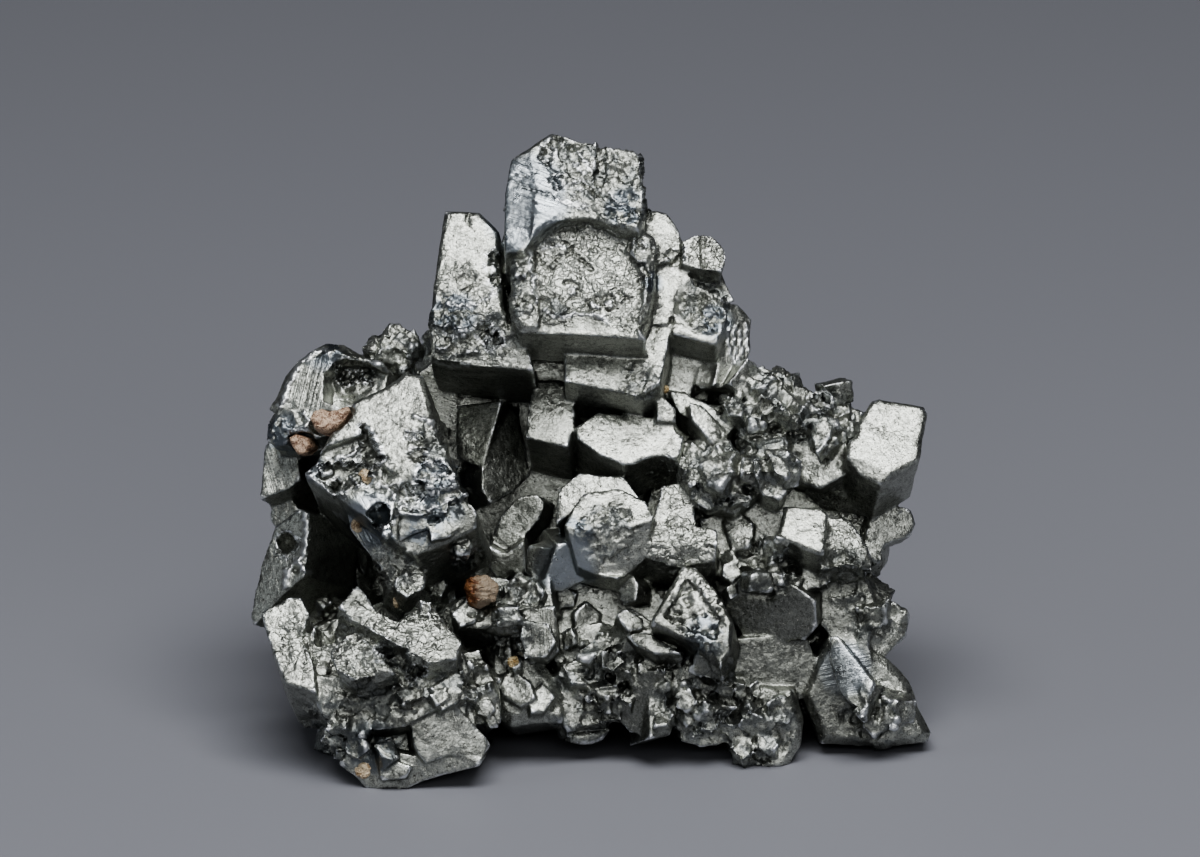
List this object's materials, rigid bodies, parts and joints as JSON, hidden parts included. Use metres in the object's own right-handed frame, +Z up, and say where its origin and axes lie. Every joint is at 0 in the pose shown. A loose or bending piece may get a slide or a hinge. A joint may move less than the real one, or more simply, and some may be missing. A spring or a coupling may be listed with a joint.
{
  "type": "acanthite pseudomorph",
  "caption": "Free-standing cluster of intergrown dark silver cube-like crystals with small brown mineral grains lodged in it, resting on its crystal feet.",
  "frame": {"origin": "middle of the bounding box's base, on the surface the cluster rests on", "axes": "+Z up, display side towards -Y, +X to the right of a viewer who faces the display side"},
  "size_m": [0.0682, 0.0506, 0.0597],
  "materials": {
    "acanthite": "satin",
    "brown_mineral": "satin",
    "amber_mineral": "satin"
  },
  "bodies": {
    "root": {"crystal_cluster": "acanthite", "brown_blade": "brown_mineral", "brown_wedge": "brown_mineral", "amber_grain": "amber_mineral"}
  },
  "joints": []
}
